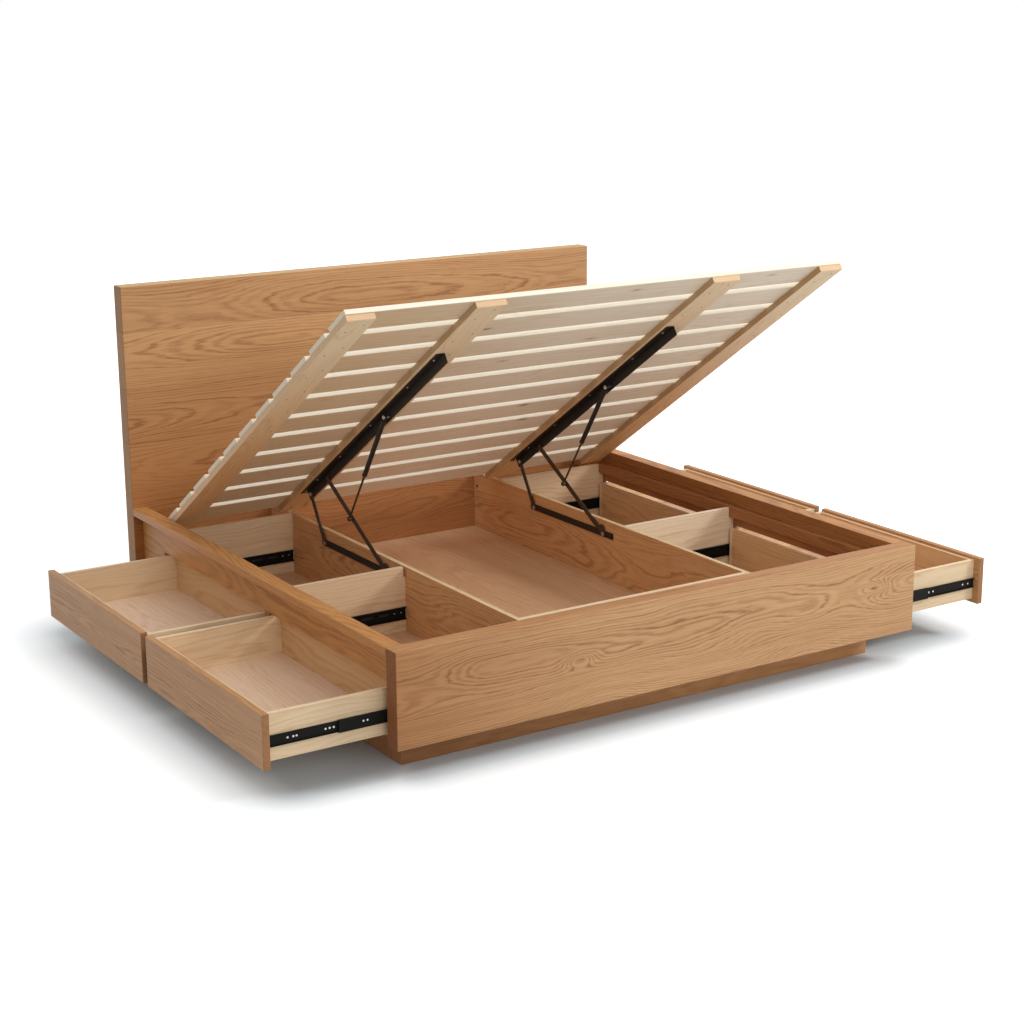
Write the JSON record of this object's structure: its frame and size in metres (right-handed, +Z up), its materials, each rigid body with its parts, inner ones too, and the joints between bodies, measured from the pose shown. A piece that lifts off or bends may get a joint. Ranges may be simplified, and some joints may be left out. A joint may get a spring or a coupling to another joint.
{
  "type": "storage bed",
  "caption": "Oak double bed frame with a slatted base raised on gas struts over a divided storage box, side drawers pulled out.",
  "frame": {"origin": "middle of the footprint of the bed with its drawers out, on the floor", "axes": "+Z up, +Y from the footboard to the headboard, X across the bed"},
  "size_m": [2.98, 2.132, 1.418],
  "materials": {
    "oak": "satin",
    "inner_oak": "satin",
    "pine": "matte",
    "oak_dark": "satin",
    "black_steel": "satin",
    "zinc": "satin"
  },
  "bodies": {
    "frame": {"footboard": "oak", "headboard": "oak", "rail_cap_left": "oak", "rail_cap_right": "oak", "back_panel": "oak", "side_panel_left": "oak_dark", "side_panel_right": "oak_dark", "side_ledges": "oak_dark", "plinth_boards": "oak_dark", "base_panel": "inner_oak", "divider_left": "inner_oak", "divider_right": "inner_oak", "bay_panels_foot": "inner_oak", "bay_panel_mid_left": "inner_oak", "bay_panel_mid_right": "inner_oak", "bay_panels_head": "inner_oak", "landing_board": "inner_oak", "box_front_panel": "pine", "slides_outer_left": "black_steel", "slides_outer_right": "black_steel", "lift_plates": "black_steel", "lower_pivot_pins": "zinc"},
    "drawer_foot_left": {"drawer_front_foot_left": "oak", "drawer_sides_foot_left": "pine", "drawer_ends_foot_left": "pine", "drawer_bottom_foot_left": "inner_oak", "slides_inner_foot_left": "black_steel"},
    "slide_middle_foot_left": {"slides_mid_foot_left": "black_steel"},
    "drawer_head_left": {"drawer_front_head_left": "oak", "drawer_sides_head_left": "pine", "drawer_ends_head_left": "pine", "drawer_bottom_head_left": "inner_oak", "slides_inner_head_left": "black_steel"},
    "slide_middle_head_left": {"slides_mid_head_left": "black_steel"},
    "drawer_foot_right": {"drawer_front_foot_right": "oak", "drawer_sides_foot_right": "pine", "drawer_ends_foot_right": "pine", "drawer_bottom_foot_right": "inner_oak", "slides_inner_foot_right": "black_steel"},
    "slide_middle_foot_right": {"slides_mid_foot_right": "black_steel"},
    "drawer_head_right": {"drawer_front_head_right": "oak", "drawer_sides_head_right": "pine", "drawer_ends_head_right": "pine", "drawer_bottom_head_right": "inner_oak", "slides_inner_head_right": "black_steel"},
    "slide_middle_head_right": {"slides_mid_head_right": "black_steel"},
    "lid": {"lid_beams_outer": "pine", "lid_beams_inner": "pine", "lid_slats": "pine", "lift_angles": "black_steel", "lid_pins": "zinc"},
    "rear_link_left": {"rear_link_left": "black_steel"},
    "long_link_left": {"long_link_left": "black_steel"},
    "strut_cylinder_left": {"strut_cylinder_left": "black_steel"},
    "strut_rod_left": {"strut_rod_left": "black_steel"},
    "rear_link_right": {"rear_link_right": "black_steel"},
    "long_link_right": {"long_link_right": "black_steel"},
    "strut_cylinder_right": {"strut_cylinder_right": "black_steel"},
    "strut_rod_right": {"strut_rod_right": "black_steel"}
  },
  "joints": [
    {"name": "lift", "type": "hinge", "parent": "frame", "child": "rear_link_left", "pos_m": [-0.4955, 0.502, 0.316], "axis": [1, 0, 0], "range_deg": [-46.6, 0]},
    {"name": "lid_pivot", "type": "hinge", "parent": "rear_link_left", "child": "lid", "pos_m": [-0.4955, 0.60774, 0.48822], "axis": [1, 0, 0], "range_deg": [0, 80.4]},
    {"name": "rear_link_right_pivot", "type": "hinge", "parent": "frame", "child": "rear_link_right", "pos_m": [0.4645, 0.502, 0.316], "axis": [1, 0, 0], "range_deg": [-46.6, 0]},
    {"name": "long_link_left_pivot", "type": "hinge", "parent": "frame", "child": "long_link_left", "pos_m": [-0.4955, 0.015, 0.316], "axis": [1, 0, 0], "range_deg": [-26.66, 0]},
    {"name": "strut_left_pivot", "type": "hinge", "parent": "lid", "child": "strut_cylinder_left", "pos_m": [-0.509, -0.01828, 0.90309], "axis": [1, 0, 0], "range_deg": [0, 15.53]},
    {"name": "strut_left_stroke", "type": "slide", "parent": "strut_cylinder_left", "child": "strut_rod_left", "axis": [0, 0.5526, -0.8334], "range_m": [-0.171, 0]},
    {"name": "long_link_right_pivot", "type": "hinge", "parent": "frame", "child": "long_link_right", "pos_m": [0.4645, 0.015, 0.316], "axis": [1, 0, 0], "range_deg": [-26.66, 0]},
    {"name": "strut_right_pivot", "type": "hinge", "parent": "lid", "child": "strut_cylinder_right", "pos_m": [0.451, -0.01828, 0.90309], "axis": [1, 0, 0], "range_deg": [0, 15.53]},
    {"name": "strut_right_stroke", "type": "slide", "parent": "strut_cylinder_right", "child": "strut_rod_right", "axis": [0, 0.5526, -0.8334], "range_m": [-0.171, 0]},
    {"name": "drawer_foot_left_slide", "type": "slide", "parent": "frame", "child": "drawer_foot_left", "axis": [-1, 0, 0], "range_m": [-0.432, 0]},
    {"name": "slide_middle_foot_left_slide", "type": "slide", "parent": "frame", "child": "slide_middle_foot_left", "axis": [-1, 0, 0], "range_m": [-0.216, 0]},
    {"name": "drawer_head_left_slide", "type": "slide", "parent": "frame", "child": "drawer_head_left", "axis": [-1, 0, 0], "range_m": [-0.432, 0]},
    {"name": "slide_middle_head_left_slide", "type": "slide", "parent": "frame", "child": "slide_middle_head_left", "axis": [-1, 0, 0], "range_m": [-0.216, 0]},
    {"name": "drawer_foot_right_slide", "type": "slide", "parent": "frame", "child": "drawer_foot_right", "axis": [1, 0, 0], "range_m": [-0.432, 0]},
    {"name": "slide_middle_foot_right_slide", "type": "slide", "parent": "frame", "child": "slide_middle_foot_right", "axis": [1, 0, 0], "range_m": [-0.216, 0]},
    {"name": "drawer_head_right_slide", "type": "slide", "parent": "frame", "child": "drawer_head_right", "axis": [1, 0, 0], "range_m": [-0.432, 0]},
    {"name": "slide_middle_head_right_slide", "type": "slide", "parent": "frame", "child": "slide_middle_head_right", "axis": [1, 0, 0], "range_m": [-0.216, 0]}
  ],
  "couplings": [
    {"joint": "lid_pivot", "follows": "lift", "ratio": -1.7253},
    {"joint": "rear_link_right_pivot", "follows": "lift", "ratio": 1},
    {"joint": "long_link_left_pivot", "follows": "lift", "ratio": 0.57197},
    {"joint": "strut_left_pivot", "follows": "lift", "ratio": -0.333},
    {"joint": "strut_left_stroke", "follows": "lift", "m_per_rad": 0.21},
    {"joint": "long_link_right_pivot", "follows": "lift", "ratio": 0.57197},
    {"joint": "strut_right_pivot", "follows": "lift", "ratio": -0.333},
    {"joint": "strut_right_stroke", "follows": "lift", "m_per_rad": 0.21},
    {"joint": "slide_middle_foot_left_slide", "follows": "drawer_foot_left_slide", "ratio": 0.5},
    {"joint": "slide_middle_head_left_slide", "follows": "drawer_head_left_slide", "ratio": 0.5},
    {"joint": "slide_middle_foot_right_slide", "follows": "drawer_foot_right_slide", "ratio": 0.5},
    {"joint": "slide_middle_head_right_slide", "follows": "drawer_head_right_slide", "ratio": 0.5}
  ]
}
